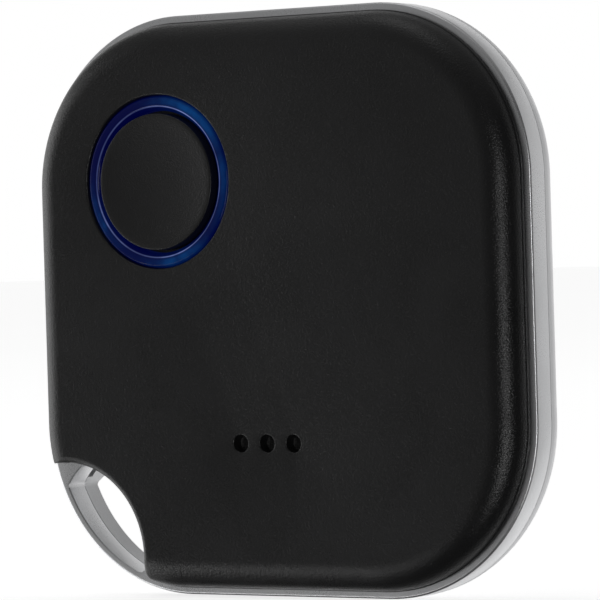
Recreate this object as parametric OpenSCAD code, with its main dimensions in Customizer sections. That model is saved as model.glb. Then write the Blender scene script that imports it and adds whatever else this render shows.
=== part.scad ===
// Wireless tracker tag: a square pocket tag with one button in a light ring,
// a buzzer behind three sound holes, a key eye in its lower left corner
// and a coin cell under a rear cover.
//
// Every module is drawn with the tag lying on its back: X to the right,
// Y up the front face, Z from the rear face (0) to the front face (body_t).
// stand() then sets the tag upright, front towards -Y, on its lower edge.

/* [Body] */
// Width and height of the body
body_w = 36; // [35.5:0.1:37]
// Thickness from the rear face to the front face
body_t = 6; // [6:0.05:6.2]
// Corner radius of the body in front view
corner_r = 10.7; // [10.4:0.1:11]
// Thickness of the front plate and of the rear plate
plate_t = 0.8; // [0.7:0.05:0.8]
// How far the front shell stands inside the trim frame's outline
shell_step = 0.45; // [0.35:0.05:0.5]
// Radius of the front shell's rounded front edge
front_round = 1.9; // [1.6:0.1:1.9]
// Height of the seam between the rear cover and the trim frame
cover_seam = 2.35; // [2.3:0.05:2.4]
// Height of the seam between the trim frame and the front shell
shell_seam = 4; // [3.95:0.05:4.05]

/* [Key eye] */
// Distance of the eye's centre from both centre lines of the face
eye_offset = 15.6; // [15.4:0.1:15.8]
// Radius of the bite that the eye takes out of the front shell
eye_bite_r = 5.85; // [5.75:0.05:6]
// Radius of the eye's inner side in the frame and the cover
eye_r = 5.6; // [5.5:0.05:5.65]
// Width of the strap that closes the eye at the corner
loop_w = 0.45; // [0.4:0.05:0.6]

/* [Button] */
// Distance of the button's centre to the left of the face's centre
button_left = 7.7; // [7.5:0.1:7.8]
// Height of the button's centre above the face's centre
button_up = 7.7; // [7.5:0.1:7.8]
// Outer radius of the light ring
ring_r = 5.32; // [5.2:0.02:5.4]
// Inner radius of the light ring
ring_bore = 4.4; // [4.35:0.05:4.45]
// Radius of the button's cap
cap_r = 4.22; // [4.1:0.02:4.3]
// How far the rim of the cap stands out of the front face
cap_proud = 0.15; // [0.05:0.05:0.2]
// Depth of the cap's dished face
cap_dish = 0.3; // [0.1:0.05:0.4]
// Travel of the button
button_travel = 0.25; // [0.2:0.05:0.25]

/* [Sound holes] */
// Diameter of a sound hole
hole_d = 1.05; // [0.8:0.05:1.2]
// Distance between sound holes
hole_pitch = 1.94; // [1.8:0.02:2]
// Distance of the row of holes below the face's centre
holes_down = 8.5; // [8.2:0.1:8.8]

/* [Coin cell] */
// Diameter of the cell
cell_d = 20; // [19.8:0.1:20]
// Thickness of the cell
cell_t = 3.2; // [3.1:0.05:3.2]

/* [Hidden] */
$fn = 96;

core = body_w / 2 - corner_r;         // corner centres lie this far from both centre lines
back_y = (body_t + cap_proud) / 2;    // the whole depth is centred on Y = 0
front_wall = body_t - plate_t;        // height of the front plate's inner face
slot_gap = 0.05;                      // gap of a sliding or push-in fit
touch = 0.02;                         // gap between pieces that bear on each other
fuse = 0.2;                           // overlap of the shapes that make one piece
leaf_t = 0.15;                        // sheet metal of the spring contacts

shell_wall = 1.2;                     // thickness of the front shell's side wall
shell_in = shell_step + shell_wall;   // inset of the front shell's inner wall
socket_wall = 0.55;                   // wall round the light ring's socket
skirt_z = 3.4;                        // lower end of the front shell's skirt
frame_wall = 1;                       // thickness of the trim frame's wall
frame_lip = 1.6;                      // inset of the trim frame's inner lip
lip_z = cover_seam + 0.4;             // top of that lip
frame_round = 0.15;                   // rounded edge of the trim frame's front ledge
tongue_in = 1.7;                      // inset of the rear cover's tongue
tongue_t = 0.6;                       // thickness of that tongue
tongue_z = cover_seam + 0.3;          // top of that tongue
rib_size = [1.2, 0.08];               // width and height of a crush rib on that tongue
rib_offset = 4;                       // distance of the crush ribs from the tongue's middle
notch_w = 1;                          // width and depth of the pry notch at the seam

bite_wall = 1.4;                      // wall of the front shell along the eye
eye_block_r = eye_bite_r + 0.7;       // trim frame's solid corner round the eye
eye_mid = core + 5.94;                // the eye's middle, on the corner's diagonal
eye_reach = 4;                        // half the length of the eye
tip_r = 0.6;                          // rounded tips of the front shell beside the eye
bite_round = 0.5;                     // rounded edge of the bite

board_in = 1.9;                       // inset of the circuit board's edge
board_gap = 0.7;                      // room between the board and the shell's wall at the eye
board_z = 2.8;                        // rear face of the circuit board
board_t = 0.8;                        // thickness of the circuit board
board_top = board_z + board_t;
posts = [[-14.2, -2.6], [-11.7, 13.2], [13.8, 8.2], [-4.6, -14.7]];
post_r = 0.9;                         // foot of a post, on the board's front face
pin_r = 0.45;                         // pin of a post, through the board
rivet_r = 0.8;                        // melted head of that pin
rivet_h = 0.3;                        // height of the melted head
rivet_z = board_z - touch;            // the melted head's bearing face

button = [-button_left, button_up];
ring_foot_z = 4.4;                    // lower end of the light ring
ring_flange_r = 5.8;                  // flange that holds the light ring under the front plate
ring_flange_z = 4.83;                 // top of that flange
ring_sink = 0.07;                     // the light ring's face lies this far below the front face
ring_slope = 0.3;                     // bevel between the light ring's face and its bore
cap_step_z = 5;                       // shoulder in the light ring that stops the cap
cap_flange_r = 4.9;                   // flange of the cap under that shoulder
cap_rim = 0.2;                        // width of the cap's flat rim round its dish
cap_boss_z = 4.45;                    // lower end of the boss that presses the switch
switch_w = 3.4;                       // width of the switch
switch_top = 4.1;                     // top of the switch's body
dome_top = board_top + 0.15;          // crown of the switch's dome
led_r = 5.3;                          // circle that the light ring's lamps stand on

cell = [4.7, -4.1];
cell_r = cell_d / 2;
cell_z = 1.05;                        // rear face of the cell
cell_top = cell_z + cell_t;
cradle_bore = cell_r + 0.2;
cradle_r = cell_r + 0.8;
cradle_top = 4.65;

buzzer = [-1.2, -holes_down];
buzzer_r = 5.5;
buzzer_z = front_wall - 0.3;          // inner face of the buzzer's brass plate

// ---- shared shapes ----

// Sets the lying tag upright on its lower edge
module stand() {
    translate([0, back_y, body_w / 2])
        rotate([90, 0, 0])
            children();
}

// A slab of a flat shape between two heights
module slab(z0, z1) {
    translate([0, 0, z0])
        linear_extrude(z1 - z0)
            children();
}

// The body's rounded square, drawn in by an inset
module outline(inset) {
    square([body_w - 2 * inset, 2 * core], center = true);
    square([2 * core, body_w - 2 * inset], center = true);
    for (x = [-core, core], y = [-core, core])
        translate([x, y])
            circle(corner_r - inset);
}

// A disc about the eye's centre
module eye_disc(r) {
    translate([-eye_offset, -eye_offset])
        circle(r);
}

// The lens-shaped eye: two arcs with blunt tips
module eye_hole() {
    intersection() {
        eye_disc(eye_r);
        translate([-core, -core])
            circle(corner_r - loop_w);
        translate([-eye_mid, -eye_mid])
            circle(eye_reach);
    }
}

// The body's outline at one inset, less the eye's corner at one radius
module clear_of_eye(inset, r) {
    difference() {
        outline(inset);
        eye_disc(r);
    }
}

// What rounding the front shell's tips beside the eye takes away.
// A tip's circle touches the shell's corner arc from inside and the bite from outside.
module tip_waste() {
    gap = sqrt(2) * (eye_offset - core);
    corner_reach = corner_r - shell_step - tip_r;
    bite_reach = eye_bite_r + tip_r;
    along = (corner_reach * corner_reach - bite_reach * bite_reach + gap * gap) / (2 * gap);
    aside = sqrt(corner_reach * corner_reach - along * along);
    for (s = [-1, 1]) {
        tip = [-core, -core] - [along + s * aside, along - s * aside] / sqrt(2);
        to_corner = (tip + [core, core]) / corner_reach;
        to_bite = -(tip + [eye_offset, eye_offset]) / bite_reach;
        outer = 1.3 * tip_r * (to_corner + to_bite) / (1 + to_corner * to_bite);
        difference() {
            polygon([tip, tip + tip_r * to_corner, tip + outer, tip + tip_r * to_bite]);
            translate(tip)
                circle(tip_r);
        }
    }
}

// Carries a section round the rounded square.
// The section's X is the distance out from the corner centres, its Y the height.
module carry() {
    for (i = [0:3])
        rotate([0, 0, 90 * i])
            translate([core, core, 0]) {
                rotate_extrude(angle = 90)
                    children();
                rotate([90, 0, 0])
                    linear_extrude(2 * core)
                        children();
            }
}

// What a round edge leaves off a square corner at (x, z); side is 1 at the top, -1 at the foot
module edge_waste(x, z, r, side) {
    difference() {
        translate([x - r, side > 0 ? z - r : z - 1])
            square(r + 1);
        translate([x - r, z - side * r])
            circle(r);
    }
}

// A block on a centre point between two heights, turned by an angle
module chip(at, size, z0, z1, turn = 0) {
    translate([at[0], at[1], z0])
        rotate([0, 0, turn])
            translate([-size[0] / 2, -size[1] / 2, 0])
                cube([size[0], size[1], z1 - z0]);
}

// A ring or disc of a round section about a centre point
module turned(at) {
    translate([at[0], at[1], 0])
        rotate_extrude()
            children();
}

// A rectangle between two corner points
module span(a, b) {
    translate(a)
        square([b[0] - a[0], b[1] - a[1]]);
}

// ---- casing ----

// Front shell: plate, side wall with a round front edge, skirt, ring socket and board posts
module front_shell() {
    socket_r = ring_r + slot_gap;
    color([0.05, 0.05, 0.055])
    stand() {
        difference() {
            union() {
                slab(shell_seam, body_t)
                    clear_of_eye(shell_step, eye_bite_r);
                slab(skirt_z, front_wall)
                    clear_of_eye(frame_wall + slot_gap, eye_block_r + slot_gap);
            }
            slab(skirt_z - 1, front_wall)
                clear_of_eye(shell_in, eye_bite_r + bite_wall);
            slab(shell_seam - 0.01, body_t + 1)
                tip_waste();
            carry()
                edge_waste(corner_r - shell_step, body_t, front_round, 1);
            turned([-eye_offset, -eye_offset])
                difference() {
                    span([eye_bite_r - 1, body_t - bite_round], [eye_bite_r + bite_round, body_t + 1]);
                    translate([eye_bite_r + bite_round, body_t - bite_round])
                        circle(bite_round);
                }
            translate([button[0], button[1], front_wall - 1])
                cylinder(r = socket_r, h = plate_t + 2);
            for (i = [-1:1])
                translate([i * hole_pitch, -holes_down, front_wall - 1])
                    cylinder(d = hole_d, h = plate_t + 2);
        }
        turned(button)
            span([socket_r, ring_flange_z + touch], [socket_r + socket_wall, front_wall + fuse]);
        for (p = posts)
            turned(p) {
                span([0, board_top + touch], [post_r, front_wall + fuse]);
                span([0, rivet_z - rivet_h], [pin_r, board_top + fuse]);
                span([0, rivet_z - rivet_h], [rivet_r, rivet_z]);
            }
    }
}

// Trim frame: bright band with a lip for the rear cover and the front half of the eye
module trim_frame() {
    color([0.72, 0.73, 0.75])
    stand()
        difference() {
            union() {
                slab(cover_seam, shell_seam)
                    difference() {
                        outline(0);
                        clear_of_eye(frame_wall, eye_block_r);
                    }
                slab(cover_seam, lip_z)
                    difference() {
                        outline(frame_wall / 2);
                        clear_of_eye(frame_lip, eye_block_r + frame_lip - frame_wall);
                    }
            }
            slab(cover_seam - 1, shell_seam + 1)
                eye_hole();
            carry()
                edge_waste(corner_r, shell_seam, frame_round, 1);
        }
}

// Rear cover: rounded back, tongue with crush ribs, rear half of the eye and a pry notch
module rear_cover() {
    tongue_eye_r = eye_block_r + tongue_in - frame_wall;
    notch_at = [-eye_mid, -eye_mid] + eye_reach * [-1, 1] / sqrt(2);
    color([0.7, 0.71, 0.73])
    stand()
        difference() {
            union() {
                slab(0, cover_seam - touch)
                    outline(0);
                slab(plate_t, tongue_z)
                    clear_of_eye(tongue_in, tongue_eye_r);
                for (i = [0:3], s = [-1, 1])
                    rotate([0, 0, 90 * i])
                        translate([body_w / 2 - tongue_in, s * rib_offset - rib_size[0] / 2, plate_t])
                            cube([rib_size[1], rib_size[0], tongue_z - plate_t]);
            }
            slab(plate_t, tongue_z + 1)
                clear_of_eye(tongue_in + tongue_t, tongue_eye_r + tongue_t);
            slab(-1, cover_seam + 1)
                eye_hole();
            carry()
                edge_waste(corner_r, 0, cover_seam, -1);
            chip(notch_at, [notch_w, notch_w], cover_seam - notch_w / 2, cover_seam + notch_w / 2, 45);
        }
}

// Foam pad that keeps the cell from rattling
module cover_pad() {
    color([0.12, 0.12, 0.13])
    stand()
        translate([cell[0], cell[1], plate_t])
            cylinder(r = 6, h = cell_z - touch - plate_t);
}

// ---- button ----

// Light ring: translucent, with a bevel towards the cap
module light_ring() {
    face_z = body_t - ring_sink;
    guide_r = cap_flange_r + 0.15;
    color([0.02, 0.08, 0.55])
    stand()
        turned(button)
            polygon([
                [guide_r, ring_foot_z], [ring_flange_r, ring_foot_z],
                [ring_flange_r, ring_flange_z], [ring_r, ring_flange_z],
                [ring_r, face_z], [ring_bore + ring_slope, face_z], [ring_bore, face_z - ring_slope],
                [ring_bore, cap_step_z], [guide_r, cap_step_z]
            ]);
}

// Cap: dished face, flange under the light ring's shoulder, boss over the switch
module button_cap() {
    rim_z = body_t + cap_proud;
    edge_r = cap_r - cap_rim;
    dish_r = (edge_r * edge_r + cap_dish * cap_dish) / (2 * cap_dish);
    flange_top = cap_step_z - slot_gap;
    foot = flange_top - 0.35;
    hollow_r = 3.6;
    boss_r = 1;
    color([0.05, 0.05, 0.055])
    stand()
        turned(button) {
            difference() {
                union() {
                    span([0, foot], [cap_r, rim_z]);
                    span([0, foot], [cap_flange_r, flange_top]);
                }
                translate([0, rim_z - cap_dish + dish_r])
                    circle(dish_r, $fn = 360);
                span([0, foot - 1], [hollow_r, front_wall + fuse]);
            }
            span([0, cap_boss_z], [boss_r, front_wall + 2 * fuse]);
        }
}

// Switch body: a moulded tray
module switch_body() {
    color([0.1, 0.1, 0.1])
    stand()
        difference() {
            chip(button, [switch_w, switch_w], board_top, switch_top);
            translate([button[0], button[1], board_top + 0.06])
                cylinder(r = 1.3, h = 1);
        }
}

// Switch cover: a steel plate with a hole for the plunger
module switch_cover() {
    color([0.75, 0.75, 0.76])
    stand()
        difference() {
            chip(button, [switch_w, switch_w], switch_top, switch_top + 0.07);
            translate([button[0], button[1], switch_top - 1])
                cylinder(r = 0.75, h = 2);
        }
}

// Snap dome in the floor of the tray, a shallow cone 0.04 thick
module switch_dome() {
    color([0.8, 0.8, 0.78])
    stand()
        turned(button)
            polygon([
                [0, dome_top - 0.05], [1.2, dome_top - 0.08],
                [1.2, dome_top - 0.04], [0, dome_top]
            ]);
}

// Plunger: a stem with a collar under the switch cover, one travel above the dome
module switch_plunger() {
    stem_foot = dome_top + button_travel + touch;
    color([0.85, 0.85, 0.8])
    stand()
        turned(button) {
            span([0, stem_foot], [0.68, cap_boss_z - touch]);
            span([0, stem_foot], [1.1, switch_top - 0.03]);
        }
}

// ---- circuit board ----

// Circuit board: an L round the cell, with holes for the shell's posts
module main_board() {
    color([0.03, 0.2, 0.1])
    stand()
        slab(board_z, board_top)
            difference() {
                intersection() {
                    clear_of_eye(board_in, eye_bite_r + bite_wall + board_gap);
                    union() {
                        span([-body_w, -body_w], [-3.5, body_w]);
                        span([-body_w, 3], [body_w, body_w]);
                    }
                }
                translate(cell)
                    circle(cradle_r + 0.15);
                for (p = posts)
                    translate(p)
                        circle(pin_r + slot_gap);
            }
}

// Four lamps under the light ring
module ring_leds() {
    color([0.9, 0.9, 0.8])
    stand()
        for (i = [0:3])
            chip(button + led_r * [cos(45 + 90 * i), sin(45 + 90 * i)], [1.2, 0.7],
                 board_top, board_top + 0.4, 135 + 90 * i);
}

// Radio chip
module radio_chip() {
    color([0.06, 0.06, 0.07])
    stand()
        chip([-11.4, 1.4], [5, 5], board_z - 0.85, board_z);
}

// Crystal can beside the radio chip
module radio_crystal() {
    color([0.8, 0.8, 0.78])
    stand()
        chip([-11.2, -3], [2, 1.6], board_z - 0.45, board_z);
}

// Ceramic chip antenna at the top edge
module chip_antenna() {
    color([0.85, 0.83, 0.78])
    stand()
        chip([5.5, 14.9], [5, 1.5], board_z - 1, board_z);
}

// Driver chip of the buzzer
module buzzer_driver() {
    color([0.06, 0.06, 0.07])
    stand()
        chip([-11.6, -6.2], [2, 2], board_z - 0.6, board_z);
}

// Coil that raises the buzzer's voltage
module boost_coil() {
    color([0.2, 0.19, 0.18])
    stand()
        chip([-8.7, -7.7], [2.4, 2], board_z - 1, board_z);
}

// Capacitors: one column beside the radio chip, one row along the top
module board_capacitors() {
    color([0.55, 0.4, 0.28])
    stand() {
        for (i = [0:3])
            chip([-15.2, 0.4 + 1.6 * i], [0.5, 1], board_z - 0.5, board_z);
        for (i = [0:5])
            chip([-2 + 1.7 * i, 10.4], [1, 0.5], board_z - 0.5, board_z);
    }
}

// Resistors: one row along the top, one pair beside the switch's traces
module board_resistors() {
    color([0.1, 0.1, 0.12])
    stand() {
        for (i = [0:5])
            chip([-2 + 1.7 * i, 12.3], [1, 0.5], board_z - 0.35, board_z);
        for (i = [0:1])
            chip([-6, 1 + 1.4 * i], [1, 0.5], board_z - 0.35, board_z);
    }
}

// Gilt test pads along the top edge
module test_pads() {
    color([0.85, 0.65, 0.25])
    stand()
        for (i = [0:3])
            translate([-6.6 + 1.7 * i, 14.8, board_z - 0.05])
                cylinder(d = 1, h = 0.05);
}

// ---- buzzer ----

// Foam ring that holds the buzzer off the front plate
module buzzer_foam() {
    color([0.15, 0.15, 0.15])
    stand()
        turned(buzzer)
            span([buzzer_r - 0.8, front_wall - 0.2], [buzzer_r, front_wall]);
}

// Brass plate of the buzzer
module buzzer_plate() {
    color([0.8, 0.62, 0.3])
    stand()
        turned(buzzer)
            span([0, buzzer_z], [buzzer_r, buzzer_z + 0.1]);
}

// Ceramic disc bonded to the brass plate
module buzzer_ceramic() {
    color([0.85, 0.84, 0.8])
    stand()
        turned(buzzer)
            span([0, buzzer_z - 0.1], [buzzer_r - 1.3, buzzer_z]);
}

// Two leaf springs from the board: one to the brass plate, one to the ceramic disc
module buzzer_springs() {
    color([0.85, 0.66, 0.3])
    stand()
        for (leaf = [[-7.6, -6.2, buzzer_z], [-9.2, -5, buzzer_z - 0.1]])
            translate([0, leaf[0] + 0.35, 0])
                rotate([90, 0, 0])
                    linear_extrude(0.7) {
                        span([-8.4, board_top], [-6.9, board_top + leaf_t]);
                        span([-6.9 - leaf_t, board_top], [-6.9, leaf[2] - touch]);
                        span([-6.9 - leaf_t, leaf[2] - touch - leaf_t], [leaf[1], leaf[2] - touch]);
                    }
}

// Fine mesh behind the sound holes
module dust_mesh() {
    color([0.25, 0.25, 0.26])
    stand()
        slab(front_wall - 0.1, front_wall) {
            square_w = 2 * hole_pitch;
            translate([-square_w / 2, -holes_down - 1.1])
                square([square_w, 2.2]);
            for (i = [-1, 1])
                translate([i * hole_pitch, -holes_down])
                    circle(1.1);
        }
}

// ---- cell and contacts ----

// Cradle: a ring with a front ledge, ears on the board and openings for the contacts
module cell_cradle() {
    color([0.88, 0.87, 0.83])
    stand()
        difference() {
            union() {
                turned(cell)
                    span([cell_r - 0.7, 1], [cradle_r, cradle_top]);
                for (a = [60, 120, 200])
                    chip(cell + (cradle_r + 0.5) * [cos(a), sin(a)], [2.2, 2],
                         board_z - touch - 0.4, board_z - touch, a);
            }
            translate([cell[0], cell[1], 0])
                cylinder(r = cradle_bore, h = cell_top + slot_gap);
            translate([cell[0] - cradle_r - 1, cell[1] - 1.7, 0])
                cube([3, 3.4, 2.9]);
            translate([cell[0] - 1.6, cell[1] + cell_r - 2, cell_top + slot_gap])
                cube([3.2, 4, 2]);
            translate([cell[0], cell[1], 0])
                rotate([0, 0, -45])
                    translate([cell_r - 1, -4, 0])
                        cube([3, 8, 2.6]);
        }
}

// Can of the cell: the positive pole, a cup with a turned-in rim
module cell_can() {
    wall = 0.25;
    rim = cell_top - 0.25;
    color([0.75, 0.75, 0.76])
    stand()
        turned(cell)
            polygon([
                [0, cell_z], [cell_r - 0.3, cell_z], [cell_r - 0.08, cell_z + 0.08], [cell_r, cell_z + 0.3],
                [cell_r, rim - 0.3], [cell_r - 0.08, rim - 0.08], [cell_r - 0.3, rim], [cell_r - 0.75, rim],
                [cell_r - 0.75, rim - wall], [cell_r - wall, rim - wall],
                [cell_r - wall, cell_z + wall], [0, cell_z + wall]
            ]);
}

// Pressed pellet that fills the can
module cell_pellet() {
    color([0.15, 0.15, 0.16])
    stand()
        turned(cell)
            span([0, cell_z + 0.25], [cell_r - 0.3, cell_top - 1]);
}

// Seal between the can's rim and the lid
module cell_seal() {
    color([0.2, 0.2, 0.22])
    stand()
        turned(cell)
            span([cell_r - 1.2, cell_top - 0.9], [cell_r - 0.8, cell_top - 0.2]);
}

// Lid of the cell: the negative pole, facing the front
module cell_lid() {
    lid_r = cell_r - 1.25;
    color([0.8, 0.8, 0.81])
    stand()
        turned(cell)
            polygon([
                [0, cell_top - 0.25], [lid_r - 0.25, cell_top - 0.25], [lid_r - 0.25, cell_top - 0.9],
                [lid_r, cell_top - 0.9], [lid_r, cell_top - 0.12], [lid_r - 0.12, cell_top], [0, cell_top]
            ]);
}

// Leaf over the cell's lid, bent down to the board above the cell
module negative_contact() {
    leaf_z = 4.42;
    foot_y = cell[1] + cradle_r + 1.3;
    color([0.85, 0.72, 0.4])
    stand() {
        translate([cell[0], 0, 0])
            rotate([90, 0, 90])
                translate([0, 0, -1.3])
                    linear_extrude(2.6) {
                        span([cell[1] - 1.5, leaf_z], [foot_y, leaf_z + leaf_t]);
                        span([foot_y - leaf_t, board_top], [foot_y, leaf_z + leaf_t]);
                        span([foot_y - leaf_t, board_top], [foot_y + 1.4, board_top + leaf_t]);
                    }
        translate([cell[0], cell[1], cell_top + touch])
            cylinder(r = 0.6, h = leaf_z - cell_top);
    }
}

// Spring in the cradle's window that bears on the side of the can
module positive_contact() {
    rim_x = cell[0] - cell_r - touch;
    knee_x = cell[0] - cradle_r - 0.4;
    color([0.85, 0.72, 0.4])
    stand()
        translate([0, cell[1] + 1.2, 0])
            rotate([90, 0, 0])
                linear_extrude(2.4) {
                    span([knee_x - 1.5, board_z - leaf_t], [knee_x, board_z]);
                    span([knee_x - leaf_t, 1.7], [knee_x, board_z]);
                    span([knee_x - leaf_t, 1.7], [rim_x, 1.7 + leaf_t]);
                    span([rim_x - leaf_t, 1.7], [rim_x, 2.6]);
                }
}

front_shell();
trim_frame();
rear_cover();
light_ring();
button_cap();
main_board();
switch_body();
switch_cover();
switch_dome();
switch_plunger();
ring_leds();
radio_chip();
radio_crystal();
chip_antenna();
buzzer_driver();
boost_coil();
board_capacitors();
board_resistors();
test_pads();
buzzer_plate();
buzzer_ceramic();
buzzer_foam();
buzzer_springs();
dust_mesh();
cell_cradle();
negative_contact();
positive_contact();
cell_can();
cell_pellet();
cell_seal();
cell_lid();
cover_pad();
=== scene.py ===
import math

import bmesh
import bpy
import numpy as np
from mathutils import Matrix, Vector
from mathutils.geometry import delaunay_2d_cdt


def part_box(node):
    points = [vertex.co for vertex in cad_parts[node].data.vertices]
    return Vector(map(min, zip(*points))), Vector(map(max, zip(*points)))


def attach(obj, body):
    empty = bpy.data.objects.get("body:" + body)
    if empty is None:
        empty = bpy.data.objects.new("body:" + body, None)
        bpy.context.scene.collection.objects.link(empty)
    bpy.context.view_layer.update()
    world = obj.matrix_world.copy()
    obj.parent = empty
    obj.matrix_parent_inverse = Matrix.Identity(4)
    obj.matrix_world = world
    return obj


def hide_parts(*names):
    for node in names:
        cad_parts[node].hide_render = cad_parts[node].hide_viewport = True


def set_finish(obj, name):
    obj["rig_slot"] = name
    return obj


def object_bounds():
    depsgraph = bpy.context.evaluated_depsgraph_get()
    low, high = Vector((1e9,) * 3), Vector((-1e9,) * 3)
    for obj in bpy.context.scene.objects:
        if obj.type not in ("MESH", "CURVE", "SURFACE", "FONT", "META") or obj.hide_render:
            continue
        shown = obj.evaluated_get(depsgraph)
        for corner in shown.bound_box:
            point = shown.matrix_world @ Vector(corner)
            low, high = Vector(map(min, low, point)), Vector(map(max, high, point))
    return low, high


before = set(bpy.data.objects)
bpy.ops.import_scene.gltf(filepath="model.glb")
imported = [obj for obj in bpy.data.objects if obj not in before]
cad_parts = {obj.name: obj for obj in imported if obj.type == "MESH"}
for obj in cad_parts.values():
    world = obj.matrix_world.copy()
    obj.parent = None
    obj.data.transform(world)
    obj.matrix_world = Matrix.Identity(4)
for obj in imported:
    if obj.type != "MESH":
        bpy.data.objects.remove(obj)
cad_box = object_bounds()

# ---- sizes, in millimetres, with the tag lying on its back ----
# X runs to the right, Y up the front face, Z from the rear face (0) to the front face.

MM = 0.001
MIDDLE = (cad_box[0][2] + cad_box[1][2]) / 2
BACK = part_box("rear_cover")[1].y


def lying_box(node):
    """Lowest and highest corner of a CAD node, in the lying tag's millimetres."""
    low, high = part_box(node)
    return (np.array([low.x, low.z - MIDDLE, BACK - high.y]) / MM,
            np.array([high.x, high.z - MIDDLE, BACK - low.y]) / MM)


band_low, band_high = lying_box("trim_frame")
shell_high = lying_box("front_shell")[1]
ring_low, ring_high = lying_box("light_ring")
cap_low, cap_high = lying_box("button_cap")
board_low, board_high = lying_box("main_board")
can_low, can_high = lying_box("cell_can")
lid_low, lid_high = lying_box("cell_lid")
mesh_high = lying_box("dust_mesh")[1]

HALF = band_high[0]                 # half the body's width
FRONT = shell_high[2]               # height of the front face
SHELL_SEAM = band_high[2]           # seam between trim frame and front shell
COVER_SEAM = band_low[2]            # seam between rear cover and trim frame
STEP = HALF - shell_high[0]         # the front shell stands this far inside the trim frame
INNER = mesh_high[2]                # inner face of the front plate
PLATE = FRONT - INNER               # thickness of the front and rear plates
BUTTON = (ring_low[:2] + ring_high[:2]) / 2
CELL = (can_low[:2] + can_high[:2]) / 2

CORNER_R = 10.7
CORE = HALF - CORNER_R              # the corners' centres lie this far from the centre lines
FRONT_ROUND = 1.9                   # rounded edges of the front shell and the rear cover
BACK_ROUND = COVER_SEAM
EYE = -15.6                         # X and Y of the eye's centre
BITE_R = 5.85                       # the front shell's bite round the eye, and its rounded edge
BITE_ROUND = 0.5
EYE_R = 5.6
EYE_MID = CORE + 5.94
EYE_REACH = 4.0
EYE_CORNER = 0.35                   # rounded inner corners of the eye
LOOP_W = 0.45                       # width of the strap outside the eye
NOTCH = 1.0                         # width and depth of the pry notch at the seam
TIP_R = 0.6
BLOCK_R = BITE_R + 0.7              # trim frame's solid corner round the eye
FRAME_WALL, FRAME_LIP = 1.0, 1.6
SHELL_WALL, BITE_WALL = 1.2, 1.4
SKIRT_Z = 3.4
TONGUE_IN, TONGUE_T = 1.7, 0.6
SLOT_GAP, TOUCH = 0.05, 0.02

SOCKET_R = 5.37
SOCKET_WALL = 0.5                   # thin enough to clear the post beside the button
SOCKET_Z = 4.85
HOLE_R = 0.525
HOLE_PITCH = 1.94
HOLES_Y = -8.5
POSTS = [(-14.2, -2.6), (-11.7, 13.2), (13.8, 8.2), (-4.6, -14.7)]
POST_R, PIN_R, RIVET_R, RIVET_H = 0.9, 0.45, 0.8, 0.3

DIAGONAL = math.sqrt(0.5)
EYE_GAP = (abs(EYE) - CORE) / DIAGONAL        # corner's centre to the eye's centre
MID_GAP = (EYE_MID - CORE) / DIAGONAL         # corner's centre to the eye's middle
ARC = 33                                      # points on a corner's arc
SHORT_ARC = 9                                 # and on a small arc
HOLE_POINTS, POST_POINTS = 48, 32             # round a sound hole and round a post
BLOCK_POINTS = 16                             # round a block's section
CLOSED = 9.0                                  # drawn in past any half size: an end that closes
MERGE = 2e-7                                  # points nearer than this become one, in metres
SIDE = CORE * np.array([-0.97, -0.3, 0.3, 0.97])


# ---- outlines ----

def arc(centre, radius, start, stop, count=ARC):
    """Points on a circle about a centre, from one angle to another in degrees, ends included."""
    angle = np.radians(np.linspace(start, stop, count))
    return np.stack([centre[0] + radius * np.cos(angle), centre[1] + radius * np.sin(angle)], 1)


def round_corners(radius):
    """The outline's way round from the foot of the left side to the head of it, without the
    lower left corner: three arcs of one radius about the corner centres and four straight sides."""
    reach = CORE + radius
    still = np.full(len(SIDE), reach)
    return np.concatenate([
        np.stack([SIDE, -still], 1), arc((CORE, -CORE), radius, 270, 360),
        np.stack([still, SIDE], 1), arc((CORE, CORE), radius, 0, 90),
        np.stack([-SIDE, still], 1), arc((-CORE, CORE), radius, 90, 180),
        np.stack([-still, -SIDE], 1)])


def outline(inset):
    """The body's rounded square drawn in by an inset, counter-clockwise."""
    radius = CORNER_R - inset
    return np.concatenate([round_corners(radius), arc((-CORE, -CORE), radius, 180, 270)])


def crossing(first, first_r, second, second_r):
    """Where two circles with centres on the eye's axis meet: (along the axis, aside of it)."""
    along = (first_r ** 2 - second_r ** 2 + second ** 2 - first ** 2) / (2 * (second - first))
    return along, math.sqrt(first_r ** 2 - (along - first) ** 2)


def bitten(inset, bite_r, tip=0.0):
    """The rounded square drawn in by an inset, less a disc about the eye's centre. Each tip between
    the corner's arc and the disc is an arc that touches both, of radius tip."""
    radius = CORNER_R - inset
    along, aside = crossing(0, radius - tip, EYE_GAP, bite_r + tip)
    to_corner = math.degrees(math.atan2(aside, along))
    to_bite = math.degrees(math.atan2(aside, EYE_GAP - along))
    corner = (-CORE, -CORE)
    tips = [(-CORE - (along + side * aside) * DIAGONAL, -CORE - (along - side * aside) * DIAGONAL)
            for side in (1, -1)]
    return np.concatenate([
        round_corners(radius), arc(corner, radius, 180, 225 - to_corner, SHORT_ARC),
        arc(tips[0], tip, 225 - to_corner, 225 + to_bite, SHORT_ARC),
        arc((EYE, EYE), bite_r, 45 + to_bite, 45 - to_bite, 2 * ARC),
        arc(tips[1], tip, 225 - to_bite, 225 + to_corner, SHORT_ARC),
        arc(corner, radius, 225 + to_corner, 270, SHORT_ARC)])


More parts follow.
